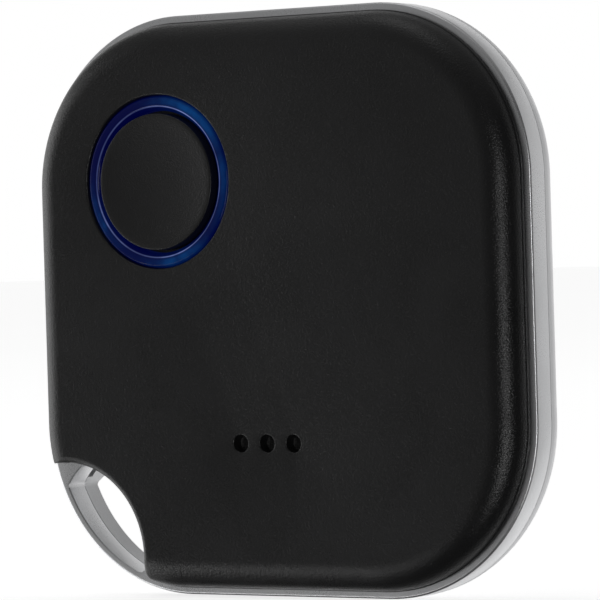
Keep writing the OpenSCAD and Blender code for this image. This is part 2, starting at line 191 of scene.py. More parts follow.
def eye_outline(grow):
    """The lens-shaped eye, grown by a distance: an arc about the corner's centre, an arc about the
    eye's centre and two short arcs about its middle, joined by small arcs that touch them."""
    small = EYE_CORNER
    outer_r = CORNER_R - LOOP_W
    near = crossing(0, outer_r - small, MID_GAP, EYE_REACH - small)
    far = crossing(MID_GAP, EYE_REACH - small, EYE_GAP, EYE_R - small)

    def turn(point, centre):
        return math.degrees(math.atan2(point[1], point[0] - centre))

    a, b, c, d = turn(near, 0), turn(near, MID_GAP), turn(far, MID_GAP), turn(far, EYE_GAP)
    half = np.concatenate([
        arc((0, 0), outer_r + grow, 0, a, ARC), arc(near, small + grow, a, b, SHORT_ARC),
        arc((MID_GAP, 0), EYE_REACH + grow, b, c, SHORT_ARC), arc(far, small + grow, c, d, SHORT_ARC),
        arc((EYE_GAP, 0), EYE_R + grow, d, 180, ARC)])
    lens = np.concatenate([half, (half * (1, -1))[::-1][1:-1]])
    along, aside = lens[:, 0] * DIAGONAL, lens[:, 1] * DIAGONAL
    return np.stack([-CORE - along - aside, -CORE - along + aside], 1)[::-1]


def notched(lens):
    """The eye's outline with the pry notch at its upper end: points that lie beyond the notch's mouth
    move out to its floor, and the nearest on each side move to its corners."""
    out = np.array([-DIAGONAL, DIAGONAL])
    across = np.array([DIAGONAL, DIAGONAL])
    mouth = np.array([-EYE_MID, -EYE_MID]) + EYE_REACH * out
    u, v = (lens - mouth) @ out, (lens - mouth) @ across
    near = (np.abs(v) < NOTCH / 2) & (u > -NOTCH)
    index = np.flatnonzero(near)
    u[near] = NOTCH / 2
    for first, beyond in ((index[np.argmin(v[index])], -1), (index[np.argmax(v[index])], 1)):
        v[first] = beyond * NOTCH / 2
    return mouth + np.outer(u, out) + np.outer(v, across)


def drop(depth, radius):
    """How far a rounded edge of that radius lies below the flat, at a depth inside the outline. The
    depth is rounded first, so that two surfaces that share a rim find the same height there."""
    left = np.clip(radius - np.round(depth, 4), 0, radius)
    return radius - np.sqrt(radius ** 2 - left ** 2)


def corner_depth(points):
    """How deep points lie inside the body's rounded square."""
    beyond = np.abs(points) - CORE
    outside = np.hypot(*np.clip(beyond, 0, None).T)
    return CORNER_R - np.where(beyond.max(1) > 0, outside, beyond.max(1))


def eye_distance(points):
    """How far points lie outside the eye: the furthest of its three discs' edges."""
    axis = -(points.sum(1) + 2 * CORE) * DIAGONAL
    aside = (points[:, 1] - points[:, 0]) * DIAGONAL
    discs = [(0, CORNER_R - LOOP_W), (MID_GAP, EYE_REACH), (EYE_GAP, EYE_R)]
    return np.max([np.hypot(axis - centre, aside) - radius for centre, radius in discs], 0)


# ---- surfaces ----

def at(points, height):
    """Flat points lifted to a height, or to a height each."""
    return np.column_stack([points, np.broadcast_to(height, len(points))])


def carried(rings):
    """A surface through closed rings of as many points each: (points, faces)."""
    rings = np.array(rings)
    rows, count = rings.shape[:2]
    index = np.arange(rows * count).reshape(rows, count)
    after = np.roll(index, -1, 1)
    faces = np.stack([index[:-1], after[:-1], after[1:], index[1:]], -1).reshape(-1, 4)
    return rings.reshape(-1, 3), faces


def turned(profile, centre, count=96):
    """A surface of revolution about an upright axis: each profile point (radius, height) goes round it."""
    profile = np.array(profile, float)
    angle = np.linspace(0, 2 * np.pi, count, endpoint=False)
    x = centre[0] + profile[:, :1] * np.cos(angle)
    y = centre[1] + profile[:, :1] * np.sin(angle)
    z = np.repeat(profile[:, 1:], count, 1)
    return carried(np.stack([x, y, z], -1))


def circle(centre, radius, count=96):
    """A closed ring of points, the same ones that turned() puts at that radius."""
    return arc(centre, radius, 0, 360, count + 1)[:-1]


def filled(rim, holes, height, inside=()):
    """A face within a rim less its holes, at a height or at a function of the points. Loose points
    inside it join in. Triangles whose middles lie outside the rim or in a hole are left out."""
    loops = [rim, *holes]
    starts = np.cumsum([0] + [len(loop) for loop in loops])
    edges = np.concatenate([
        np.stack([first + np.arange(len(loop)), first + np.roll(np.arange(len(loop)), -1)], 1)
        for first, loop in zip(starts, loops)])
    points = np.concatenate(loops + list(inside))
    out = delaunay_2d_cdt([Vector(p) for p in points], edges.tolist(), [], 1, 1e-6, False)
    flat, faces = np.array([tuple(v) for v in out[0]]), np.array(out[2])
    middle = flat[faces].mean(1)
    use = within(middle, rim)
    for hole in holes:
        use &= ~within(middle, hole)
    heights = height(flat) if callable(height) else height
    return at(flat, heights), faces[use]


def within(points, loop):
    """True for the points inside a closed loop: a ray to the right crosses it an odd number of times."""
    ends = np.roll(loop, -1, 0)
    x, y = points[:, :1], points[:, 1:]
    spans = (loop[:, 1] > y) != (ends[:, 1] > y)
    rise = np.where(ends[:, 1] == loop[:, 1], 1, ends[:, 1] - loop[:, 1])
    cut = loop[:, 0] + (y - loop[:, 1]) * (ends[:, 0] - loop[:, 0]) / rise
    return (spans & (cut > x)).sum(1) % 2 == 1


def piece(name, surfaces, body, stands_for=(), slot=None, sharp=28, metal=None):
    """Joins surfaces into one mesh, upright and in metres, merges their shared rims, turns the
    faces outwards and keeps the edges steeper than an angle sharp. It rides on a body. metal is
    a share for each point, kept as an attribute, of how far the finish there is bare metal."""
    starts = np.cumsum([0] + [len(points) for points, faces in surfaces])
    lying = np.concatenate([points for points, faces in surfaces])
    faces = [face for (points, part), first in zip(surfaces, starts) for face in (part + first).tolist()]
    upright = np.column_stack([lying[:, 0] * MM, BACK - lying[:, 2] * MM, MIDDLE + lying[:, 1] * MM])
    mesh = bpy.data.meshes.new(name)
    mesh.from_pydata(upright.tolist(), [], faces)
    if metal is not None:
        mesh.attributes.new("metal", "FLOAT", "POINT").data.foreach_set("value", np.asarray(metal, float))
    work = bmesh.new()
    work.from_mesh(mesh)
    bmesh.ops.remove_doubles(work, verts=work.verts, dist=MERGE)
    bmesh.ops.dissolve_degenerate(work, edges=work.edges, dist=MERGE / 2)
    bmesh.ops.recalc_face_normals(work, faces=work.faces)
    if work.calc_volume(signed=True) < 0:
        bmesh.ops.reverse_faces(work, faces=work.faces)
    work.to_mesh(mesh)
    work.free()
    mesh.shade_smooth()
    mesh.set_sharp_from_angle(angle=math.radians(sharp))
    made = bpy.data.objects.new(name, mesh)
    bpy.context.scene.collection.objects.link(made)
    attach(made, body)
    if stands_for:
        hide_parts(*stands_for)
    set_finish(made, slot or stands_for[0])
    return made


# ---- casing ----

def sound_holes():
    """Centres of the three sound holes."""
    return [(step * HOLE_PITCH, HOLES_Y) for step in (-1, 0, 1)]


def shell_skin():
    """Front shell. Rings at growing insets s carry its rounded edge: the height at a point is the
    front face's less the root of the squares of two drops, one from the outer edge and one from the
    bite. The flats are filled between rims, and the holes, socket and posts are turned."""
    bead, bead_h = 0.05, 0.26           # width and height of the bead round the shell's foot
    bead_top = SHELL_SEAM + bead_h
    foot, lip, hole_lip = 0.07, 0.14, 0.1
    angles = np.linspace(0, np.pi / 2, 31)
    insets = bead + (FRONT_ROUND - bead) * (1 - np.cos(angles))

    def ring(inset, bite):
        return bitten(STEP + inset, BITE_R + bite, max(TIP_R - max(inset, bite), 0))

    def crown(points):
        depth = corner_depth(points) - STEP - bead
        bite = np.hypot(*(points - EYE).T) - BITE_R
        full = FRONT - bead_top - bead
        edge = drop(depth, FRONT_ROUND - bead) * full / (FRONT_ROUND - bead)
        return FRONT - np.minimum(np.hypot(edge, drop(bite, BITE_ROUND)), full)

    skirt = ring(FRAME_WALL + SLOT_GAP - STEP, BLOCK_R + SLOT_GAP - BITE_R)
    wall = ring(SHELL_WALL, BITE_WALL)
    edge, crest = ring(0, 0), ring(bead / 2, bead / 2)
    below = [at(wall, INNER), at(wall, SKIRT_Z), at(skirt, SKIRT_Z), at(skirt, SHELL_SEAM),
             at(ring(foot, foot), SHELL_SEAM + TOUCH), at(edge, SHELL_SEAM + foot),
             at(edge, np.minimum(bead_top, crown(edge))),
             at(crest, np.minimum(bead_top + 0.8 * bead, crown(crest)))]
    over = [at(ring(s, s), crown(ring(s, s))) for s in insets]
    face_rim = ring(FRONT_ROUND, FRONT_ROUND)
    socket = [(SOCKET_R + lip - i, FRONT - d) for i, d in lip_profile(lip)]
    socket += [(SOCKET_R, SOCKET_Z), (SOCKET_R + SOCKET_WALL, SOCKET_Z), (SOCKET_R + SOCKET_WALL, INNER)]
    hole = [(HOLE_R + hole_lip - i, FRONT - d) for i, d in lip_profile(hole_lip)] + [(HOLE_R, INNER)]
    rivet_z = board_low[2] - TOUCH
    post = [(POST_R, INNER), (POST_R, board_high[2] + TOUCH), (PIN_R, board_high[2] + TOUCH),
            (PIN_R, rivet_z), (RIVET_R, rivet_z)]
    post += [(RIVET_R * math.cos(a), rivet_z - RIVET_H * math.sin(a))
             for a in np.linspace(0.15, np.pi / 2, 8)]
    parts = [carried(below + over)]
    parts.append(filled(face_rim, [circle(BUTTON, SOCKET_R + lip)]
                        + [circle(c, HOLE_R + hole_lip, HOLE_POINTS) for c in sound_holes()], FRONT))
    parts.append(filled(wall, [circle(BUTTON, SOCKET_R + SOCKET_WALL)]
                        + [circle(c, HOLE_R, HOLE_POINTS) for c in sound_holes()]
                        + [circle(c, POST_R, POST_POINTS) for c in POSTS], INNER))
    parts.append(turned(socket, BUTTON))
    parts += [turned(hole, centre, HOLE_POINTS) for centre in sound_holes()]
    parts += [turned(post, centre, POST_POINTS) for centre in POSTS]
    return piece("shell_skin", parts, "casing", ["front_shell"])


def lip_profile(radius, steps=6):
    """A rounded lip as (towards the hole, down) pairs, from the face to the wall."""
    angle = np.linspace(0, np.pi / 2, steps + 1)
    return np.stack([radius * np.sin(angle), radius * (1 - np.cos(angle))], 1)


def frame_skin():
    """Trim frame. Rings of the body's outline carry the band with its rounded edges, rings of the
    bitten outline its inner wall and lip, and rings of the eye the eye's wall."""
    edge, eye_edge, seam_edge, lip_h = 0.16, 0.08, 0.03, 0.4
    lip_bite = BLOCK_R + FRAME_LIP - FRAME_WALL
    front = [(edge - i, SHELL_SEAM - d) for i, d in lip_profile(edge)]
    rear = [(seam_edge - i, COVER_SEAM + d) for i, d in lip_profile(seam_edge, 3)][::-1]
    band = [at(outline(inset), z) for inset, z in front + rear]
    inner = [(FRAME_WALL, BLOCK_R, SHELL_SEAM), (FRAME_WALL, BLOCK_R, COVER_SEAM + lip_h),
             (FRAME_LIP, lip_bite, COVER_SEAM + lip_h), (FRAME_LIP, lip_bite, COVER_SEAM)]
    eye = [(eye_edge - i, SHELL_SEAM - d) for i, d in lip_profile(eye_edge)]
    eye += [(seam_edge - i, COVER_SEAM + d) for i, d in lip_profile(seam_edge, 3)][::-1]
    parts = [
        carried(band), carried([at(bitten(inset, bite), z) for inset, bite, z in inner]),
        carried([at(eye_outline(grow), z) for grow, z in eye]),
        filled(outline(edge), [bitten(FRAME_WALL, BLOCK_R), eye_outline(eye_edge)], SHELL_SEAM),
        filled(outline(seam_edge), [bitten(FRAME_LIP, lip_bite), eye_outline(seam_edge)], COVER_SEAM)]
    return piece("frame_skin", parts, "casing", ["trim_frame"])


def cover_skin():
    """Rear cover. Its back is a height over the plane: the deeper of two drops, one from the body's
    edge with a large radius and one from the eye's edge with a small one. Inside it has a floor,
    a tongue that follows the frame's lip, and the eye's wall."""
    eye_edge, seam_edge = 0.1, 0.03
    tongue_h, bevel = 0.3, 0.1
    top = COVER_SEAM - TOUCH

    def back(points):
        return np.maximum(drop(corner_depth(points), BACK_ROUND), drop(eye_distance(points), eye_edge))

    insets = BACK_ROUND * (1 - np.cos(np.linspace(0, np.pi / 2, 25)))
    insets = insets[insets > 0.02]
    eye_grow = eye_edge * (1 - np.cos(np.linspace(0, np.pi / 2, 4)))[1:]
    rings = [outline(s) for s in insets]
    clear = [ring[eye_distance(ring) > eye_edge * 1.15] for ring in rings]
    grown = [eye_outline(g) for g in eye_grow]
    rim = outline(0)
    eye = eye_outline(0)
    skin = filled(rim, [eye], back, clear + grown)
    side = carried([at(rim, back(rim)), at(rim, top - seam_edge), at(outline(seam_edge), top)])
    tongue_eye = BLOCK_R + TONGUE_IN - FRAME_WALL
    tongue_z = COVER_SEAM + tongue_h
    outside = bitten(TONGUE_IN, tongue_eye)
    inside = bitten(TONGUE_IN + TONGUE_T, tongue_eye + TONGUE_T)
    tongue = carried([at(outside, top), at(outside, tongue_z - bevel),
                      at(bitten(TONGUE_IN + bevel, tongue_eye + bevel), tongue_z),
                      at(inside, tongue_z), at(inside, PLATE)])
    shelf = COVER_SEAM - NOTCH / 2
    mouth = notched(eye_outline(seam_edge))
    wall = carried([at(eye, back(eye)), at(eye, shelf), at(notched(eye), shelf),
                    at(notched(eye), top - seam_edge), at(mouth, top)])
    parts = [skin, side, tongue, wall, filled(outline(seam_edge), [outside, mouth], top),
             filled(inside, [], PLATE)]
    return piece("cover_skin", parts, "cover", ["rear_cover"])


# ---- button ----

def rounded(profile, radius, steps=5):
    """A closed profile with its corners rounded: a quadratic curve from a point short of each
    corner to a point past it, pulled towards the corner; one radius, or one for each corner."""
    corners = np.array(profile, float)
    radius = np.broadcast_to(radius, len(corners))[:, None]
    ways = [np.roll(corners, shift, 0) - corners for shift in (1, -1)]
    lengths = [np.linalg.norm(way, axis=1, keepdims=True) for way in ways]
    start, stop = [corners + way / length * np.minimum(radius, 0.45 * length)
                   for way, length in zip(ways, lengths)]
    t = np.linspace(0, 1, steps + 1)[None, :, None]
    curve = (1 - t) ** 2 * start[:, None] + 2 * t * (1 - t) * corners[:, None] + t ** 2 * stop[:, None]
    return curve.reshape(-1, 2)


def ring_skin():
    """Light ring: a rounded profile turned about the button's axis, with a bevel towards the cap."""
    face_z, bore, slope, guide = ring_high[2], 4.4, 0.3, 5.05
    flange_r, flange_z, outer_r, step_z = 5.8, 4.83, 5.32, 5.0
    profile = [(guide, ring_low[2]), (flange_r, ring_low[2]), (flange_r, flange_z), (outer_r, flange_z),
               (outer_r, face_z), (bore + slope, face_z), (bore, face_z - slope), (bore, step_z),
               (guide, step_z)]
    loop = rounded(profile, [0.05, 0.05, 0.05, 0.02, 0.3, 0.16, 0.14, 0.03, 0.03])
    return piece("ring_skin", [turned(np.vstack([loop, loop[:1]]), BUTTON, 128)], "casing", ["light_ring"])


def cap_skin():
    """Button cap: a dish of one large radius inside a rounded rim, a flange under the ring's
    shoulder, and a hollow with a boss inside."""
    cap_r, rim, edge, dish = 4.22, 0.2, 0.09, 0.3
    rim_z, flange_r, hollow_r, boss_r = cap_high[2], 4.9, 3.6, 1.0
    dish_edge = cap_r - rim
    dish_r = (dish_edge ** 2 + dish ** 2) / (2 * dish)
    radii = np.linspace(0, dish_edge, 18)
    face = [(r, rim_z - dish + dish_r - math.sqrt(dish_r ** 2 - r ** 2)) for r in radii]
    face += [(cap_r - edge + i, rim_z - d) for i, d in lip_profile(edge)]
    flange_top, flange_t, bevel = 4.95, 0.35, 0.05
    foot, roof, tip = flange_top - flange_t, INNER + 0.2, cap_low[2]
    under = [(cap_r, flange_top), (flange_r - bevel, flange_top), (flange_r, flange_top - bevel),
             (flange_r, foot), (hollow_r, foot), (hollow_r, roof), (boss_r, roof),
             (boss_r, tip + bevel), (boss_r - bevel, tip), (0, tip)]
    return piece("cap_skin", [turned(face + under, BUTTON, 128)], "button", ["button_cap"])


# ---- coin cell ----

def plus(centre, reach, half):
    """A plus sign's outline: three points of one arm, turned through four quarter turns."""
    arm = np.array([(reach, -half), (reach, half), (half, half)])
    turns = [np.array([(c, s), (-s, c)]) for c, s in ((1, 0), (0, 1), (-1, 0), (0, -1))]
    return np.concatenate([arm @ turn for turn in turns]) + centre


def bend(centre_r, centre_z, radius, start, stop, steps=6):
    """A profile's round corner: (radius, height) points on an arc between two angles in degrees."""
    return [(centre_r + radius * math.cos(a), centre_z + radius * math.sin(a))
            for a in np.radians(np.linspace(start, stop, steps))]


def can_skin():
    """Can of the cell: a drawn cup with a step round its back, a round shoulder, a curled rim and
    a plus sunk into the back."""
    back, rim, radius = can_low[2], can_high[2], can_high[0] - CELL[0]
    step_r, step, shoulder, curl, wall, lip = radius - 1.1, 0.03, 0.4, 0.3, 0.25, 0.75
    reach, half, depth = 2.2, 0.32, 0.05
    sign = plus(CELL, reach, half)
    side = [(step_r, back), (step_r + 2 * step, back + step), (radius - shoulder, back + step)]
    side += bend(radius - shoulder, back + step + shoulder, shoulder, -90, 0)
    side += bend(radius - curl, rim - curl, curl, 0, 90)
    side += [(radius - lip, rim), (radius - lip, rim - wall), (radius - wall, rim - wall),
             (radius - wall, back + wall), (0, back + wall)]
    parts = [turned(side, CELL), filled(circle(CELL, step_r), [sign], back),
             carried([at(sign, back), at(sign, back + depth)]), filled(sign, [], back + depth)]
    return piece("can_skin", parts, "cell", ["cell_can"])


def lid_skin():
    """Lid of the cell: a shallow cap with a coined ring and a round edge, and its folded foot."""
    face, foot, radius = lid_high[2], lid_low[2], lid_high[0] - CELL[0]
    ring_r, groove, slope, ring_w, edge, wall = 6.2, 0.03, 0.08, 0.38, 0.3, 0.25
    top = [(0, face), (ring_r, face), (ring_r + slope, face - groove),
           (ring_r + ring_w - slope, face - groove), (ring_r + ring_w, face)]
    top += bend(radius - edge, face - edge, edge, 90, 0)
    top += [(radius, foot), (radius - wall, foot), (radius - wall, face - wall), (0, face - wall)]
    return piece("lid_skin", [turned(top, CELL)], "cell", ["cell_lid"])


# ---- parts on the board ----

def solids(node):
    """Corners (low, high) of each separate solid in a CAD node, in the lying tag's millimetres.
    Triangles that share a corner pass the lowest label round until nothing changes."""
    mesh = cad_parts[node].data
    places, corners = np.empty(3 * len(mesh.vertices)), np.empty(len(mesh.loops), int)
    mesh.vertices.foreach_get("co", places)
    mesh.loops.foreach_get("vertex_index", corners)
    points, index = np.unique(np.round(places.reshape(-1, 3), 7), axis=0, return_inverse=True)
    faces = index.reshape(-1)[corners].reshape(-1, 3)
    label, before = np.arange(len(points)), None
    while before is None or (label != before).any():
        before = label.copy()
        np.minimum.at(label, faces, label[faces].min(1)[:, None])
    lying = np.column_stack([points[:, 0], points[:, 2] - MIDDLE, BACK - points[:, 1]]) / MM
    return [(lying[label == one].min(0), lying[label == one].max(0)) for one in np.unique(label)]


def block(low, high, stops, edge=0.04):
    """A block with round edges along its longer side: rounded rectangles at stops (place from -1 to 1
    of the half length, millimetres from there, millimetres drawn in); its ends close to a point."""
    middle, half = (low + high) / 2, (high - low) / 2
    along = 0 if half[0] >= half[1] else 1
    turn = 2 * np.pi * (np.arange(BLOCK_POINTS) + 0.5) / BLOCK_POINTS
    way = np.stack([np.cos(turn), np.sin(turn)], 1)
    rings = []
    for place, offset, inward in stops:
        size = np.array([half[1 - along], half[2]]) - inward - edge
        section = np.sign(way) * np.maximum(size, 0)
        if inward < size.min() + edge:
            section = section + edge * way
        if inward >= size.max():
            section = 0 * section
        ring = np.empty((BLOCK_POINTS, 3))
        ring[:, along] = place * half[along] + offset
        ring[:, 1 - along] = section[:, 0]
        ring[:, 2] = section[:, 1]
        rings.append(middle + ring)
    return carried(rings)


def end_capped(name, node, cap):
    """Ceramic chips with tinned ends: on each solid of a node, two caps stand proud of the body."""
    proud, edge = 0.02, 0.04
    stops = [(-1, 0, CLOSED), (-1, 0, edge), (-1, edge, 0), (-1, cap, 0), (-1, cap, proud),
             (1, -cap, proud), (1, -cap, 0), (1, -edge, 0), (1, 0, edge), (1, 0, CLOSED)]
    tin = np.repeat([1, 1, 1, 1, 0, 0, 1, 1, 1, 1], BLOCK_POINTS)
    boxes = solids(node)
    return piece(name, [block(low, high, stops) for low, high in boxes], "casing", [node],
                 metal=np.tile(tin, len(boxes)))


def coil_skin():
    """Boost coil: a ferrite drum on a base with tinned ends. Between the drum's flanges the radius
    swings with the cosine of the height, one swing to each turn of wire."""
    low, high = solids("boost_coil")[0]
    drum_r, wire_r, wire, turns, base = 0.98, 0.84, 0.05, 6, 0.22
    flange, edge, count = 0.16, 0.03, 48
    end, sunk = 0.35, 0.01              # the base's tinned ends, and its body's step down from them
    foot, top = low[2] + flange, high[2] - base - 0.06
    wave = np.linspace(0, 1, 8 * turns + 1)
    profile = [(0, low[2]), (drum_r - edge, low[2]), (drum_r, low[2] + edge), (drum_r, foot)]
    profile += [(wire_r - wire * math.cos(2 * math.pi * turns * t), foot + t * (top - foot)) for t in wave]
    profile += [(drum_r, top), (drum_r, high[2] - base + 0.02), (0, high[2] - base + 0.02)]
    copper = np.concatenate([np.zeros(4), np.ones(len(wave)), np.zeros(3)])
    plate_low = np.array([low[0], low[1], high[2] - base])
    stops = [(-1, 0, CLOSED), (-1, 0, 0), (-1, end, 0), (-1, end, sunk),
             (1, -end, sunk), (1, -end, 0), (1, 0, 0), (1, 0, CLOSED)]
    parts = [turned(profile, (low[:2] + high[:2]) / 2, count), block(plate_low, high, stops)]
    tin = np.repeat([1, 1, 1, 0, 0, 1, 1, 1], BLOCK_POINTS)
    return piece("coil_skin", parts, "casing", ["boost_coil"],
                 metal=np.concatenate([np.repeat(copper, count), tin]))


# ---- camera ----

def camera():
    """The camera stands right of the face's normal, just above its middle, and is rolled a little."""
    azimuth, elevation, roll = math.radians(34.5), math.radians(0.7), math.radians(1.7)
    distance, aim_right, aim_up = 259 * MM, 2.27 * MM, 0.25 * MM
    face = Vector((0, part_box("front_shell")[0].y, MIDDLE))
    forward = Vector((-math.sin(azimuth) * math.cos(elevation), math.cos(azimuth) * math.cos(elevation),
                      -math.sin(elevation)))
    right = Vector((math.cos(azimuth), math.sin(azimuth), 0))
    up = right.cross(forward)
    rolled_right = right * math.cos(roll) - up * math.sin(roll)
    rolled_up = right * math.sin(roll) + up * math.cos(roll)
    place = face - forward * distance
    aim = face + rolled_right * aim_right + rolled_up * aim_up
    data = bpy.data.cameras.new("camera")
    data.sensor_width = 36
    data.lens = 255.4
    data.clip_start, data.clip_end = 0.01, 20
    eye = bpy.data.objects.new("camera", data)
    bpy.context.scene.collection.objects.link(eye)
    look = (aim - place).normalized()
    side = look.cross(rolled_up).normalized()
    top = side.cross(look)
    eye.matrix_world = Matrix((side, top, -look)).transposed().to_4x4()
    eye.location = place
    bpy.context.scene.camera = eye


# ---- shader groups ----

def put(tree, kind, feeds=(), **settings):
    """Adds a shader node, sets its properties, and gives its inputs values or links."""
    node = tree.nodes.new("ShaderNode" + kind)
    for key, value in settings.items():
        setattr(node, key, value)
    for key, value in dict(feeds).items():
        if isinstance(value, bpy.types.NodeSocket):
            tree.links.new(value, node.inputs[key])
        else:
            node.inputs[key].default_value = value
    return node


def calc(tree, operation, *values):
    """A math node on values or sockets; gives its output."""
    return put(tree, "Math", enumerate(values), operation=operation).outputs[0]


def blended(tree, share, first, second):
    """A colour that goes from the first to the second with a share from 0 to 1."""
    feeds = {0: share, 6: first, 7: second}
    return put(tree, "Mix", feeds, data_type="RGBA").outputs[2]


def ranged(tree, value, low, high, to_low, to_high):
    """A value moved from one range to another and held within it."""
    feeds = {0: value, 1: low, 2: high, 3: to_low, 4: to_high}
    return put(tree, "MapRange", feeds).outputs[0]


def shader_group(name, inputs, outputs):
    """An empty shader node group with named inputs (name, default) and named float outputs."""
    tree = bpy.data.node_groups.new(name, "ShaderNodeTree")
    for label, value in inputs:
        kind = "NodeSocketFloat" if isinstance(value, (int, float)) else "NodeSocketVector"
        tree.interface.new_socket(label, in_out="INPUT", socket_type=kind).default_value = value
    for label in outputs:
        tree.interface.new_socket(label, in_out="OUTPUT", socket_type="NodeSocketFloat")
    return tree, tree.nodes.new("NodeGroupInput"), tree.nodes.new("NodeGroupOutput")


def same(number):
    """Three equal numbers."""
    return (number, number, number)


def scaled_place(tree, per_mm):
    """Object coordinates times a number of cells per millimetre, or a vector of such numbers."""
    place = put(tree, "TexCoord").outputs["Object"]
    metres = put(tree, "VectorMath", {0: place, 1: (1000, 1000, 1000)}, operation="MULTIPLY").outputs[0]
    return put(tree, "VectorMath", {0: metres, 1: per_mm}, operation="MULTIPLY").outputs[0]


def millimetres(tree):
    """Object coordinates in millimetres: to the right, backwards and up."""
    return put(tree, "SeparateXYZ", {0: scaled_place(tree, same(1))}).outputs[:]


def length(tree, x, y):
    """The root of the sum of two squares."""
    squares = [calc(tree, "MULTIPLY", value, value) for value in (x, y)]
    return calc(tree, "SQRT", calc(tree, "ADD", *squares))


def grain_group():
    """Spark-eroded grain: pits of two sizes, as a height, and their speckle as a mask."""
    inputs = [("Per mm", (6, 6, 6)), ("Fineness", 2.3)]
    tree, given, out = shader_group("grain", inputs, ["Height", "Speckle"])
    place = scaled_place(tree, given.outputs["Per mm"])
    coarse = put(tree, "TexNoise", {"Vector": place, "Scale": 1, "Detail": 2, "Roughness": 0.6}).outputs[0]
    feeds = {0: place, "Scale": given.outputs["Fineness"]}
    fine_place = put(tree, "VectorMath", feeds, operation="SCALE").outputs[0]
    fine = put(tree, "TexVoronoi", {"Vector": fine_place, "Scale": 1}, feature="SMOOTH_F1").outputs[0]
    tree.links.new(calc(tree, "ADD", calc(tree, "MULTIPLY", coarse, 1.3), calc(tree, "MULTIPLY", fine, 0.5)),
                   out.inputs["Height"])
    tree.links.new(ranged(tree, fine, 0.15, 0.75, 0, 1), out.inputs["Speckle"])
    return tree


def smudge_group():
    """Wide soft patches, as handling leaves them: low noise, warped a little."""
    tree, given, out = shader_group("smudge", [("Per mm", (0.15, 0.15, 0.15))], ["Patch"])
    place = scaled_place(tree, given.outputs["Per mm"])
    soft = put(tree, "TexNoise", {"Vector": place, "Scale": 1, "Detail": 4, "Distortion": 0.8}).outputs[0]
    tree.links.new(ranged(tree, soft, 0.35, 0.65, 0, 1), out.inputs["Patch"])
    return tree


def dust_group():
    """Sparse specks of dust: the cores of a few cells of a Voronoi pattern, thinned by a noise."""
    tree, given, out = shader_group("dust", [("Per mm", (1.4, 1.4, 1.4)), ("Size", 0.09)], ["Specks"])
    place = scaled_place(tree, given.outputs["Per mm"])
    cells = put(tree, "TexVoronoi", {"Vector": place, "Scale": 1}).outputs[0]
    some = put(tree, "TexNoise", {"Vector": place, "Scale": 0.7}).outputs[0]
    speck = calc(tree, "LESS_THAN", cells, given.outputs["Size"])
    tree.links.new(calc(tree, "MULTIPLY", speck, ranged(tree, some, 0.5, 0.6, 0, 1)), out.inputs["Specks"])
    return tree


GRAIN, SMUDGE, DUST = grain_group(), smudge_group(), dust_group()


def grouped(tree, made_group, **feeds):
    """Places a shader group in a material with its own values; spaces in names are underscores."""
    node = tree.nodes.new("ShaderNodeGroup")
    node.node_tree = made_group
    for key, value in feeds.items():
        node.inputs[key.replace("_", " ")].default_value = value
    return node


def blank(name):
    """A new material: (material, its tree, its Principled shader)."""
    made = bpy.data.materials.new(name)
    made.use_nodes = True
    return made, made.node_tree, made.node_tree.nodes["Principled BSDF"]


def sockets(tree, shader, **values):
    """Sets or links the Principled shader's sockets; spaces in names are underscores."""
    for key, value in values.items():
        socket = shader.inputs[key.replace("_", " ")]
        if isinstance(value, bpy.types.NodeSocket):
            tree.links.new(value, socket)
        else:
            socket.default_value = value


def bumped(tree, height, depth_mm, strength=1.0):
    """A normal bent by a height that is worth a depth in millimetres."""
    feeds = {"Strength": strength, "Distance": depth_mm * MM, "Height": height}
    return put(tree, "Bump", feeds).outputs[0]


def grey(level):
    """A neutral colour."""
    return (level, level, level, 1.0)


def shade(colour, times):
    """A colour made darker or lighter."""
    return (*[times * part for part in colour], 1)


# ---- materials ----

def moulded(name, colour, roughness=0.5, spread=0.12, per_mm=8.0, depth=0.02, dust=0.0, specular=0.5):
    """Moulded plastic: one colour with faint patches, eroded grain in roughness and bump, dust."""
    made, tree, shader = blank(name)
    grain = grouped(tree, GRAIN, Per_mm=same(per_mm))
    patch = grouped(tree, SMUDGE).outputs["Patch"]
    tone = blended(tree, patch, shade(colour, 0.86), shade(colour, 1.14))
    specks = calc(tree, "MULTIPLY", grouped(tree, DUST).outputs["Specks"], dust)
    tone = blended(tree, specks, tone, grey(0.45))
    rough = ranged(tree, grain.outputs["Speckle"], 0, 1, roughness - spread, roughness + spread)
    rough = calc(tree, "ADD", rough, calc(tree, "MULTIPLY", patch, 0.05))
    sockets(tree, shader, Base_Color=tone, Roughness=rough, Specular_IOR_Level=specular,
            Normal=bumped(tree, grain.outputs["Height"], depth))
    return made


def silvered(name, level=0.76, roughness=0.3, metallic=1.0, tint=(1, 1.005, 1.02)):
    """Satin silver paint: fine flake in colour and roughness, and a slight orange peel."""
    made, tree, shader = blank(name)
    flake = grouped(tree, GRAIN, Per_mm=same(11), Fineness=2.0)
    peel = grouped(tree, GRAIN, Per_mm=same(1.6), Fineness=1.7)
    patch = grouped(tree, SMUDGE, Per_mm=same(0.2)).outputs["Patch"]
    low, high = shade(tint, level * 0.93), shade(tint, level * 1.06)
    rough = ranged(tree, flake.outputs["Speckle"], 0, 1, roughness - 0.06, roughness + 0.08)
    rough = calc(tree, "ADD", rough, calc(tree, "MULTIPLY", patch, 0.06))
    height = calc(tree, "ADD", calc(tree, "MULTIPLY", flake.outputs["Height"], 0.35), peel.outputs["Height"])
    sockets(tree, shader, Base_Color=blended(tree, flake.outputs["Speckle"], low, high), Roughness=rough,
            Metallic=metallic, Normal=bumped(tree, height, 0.006))
    return made


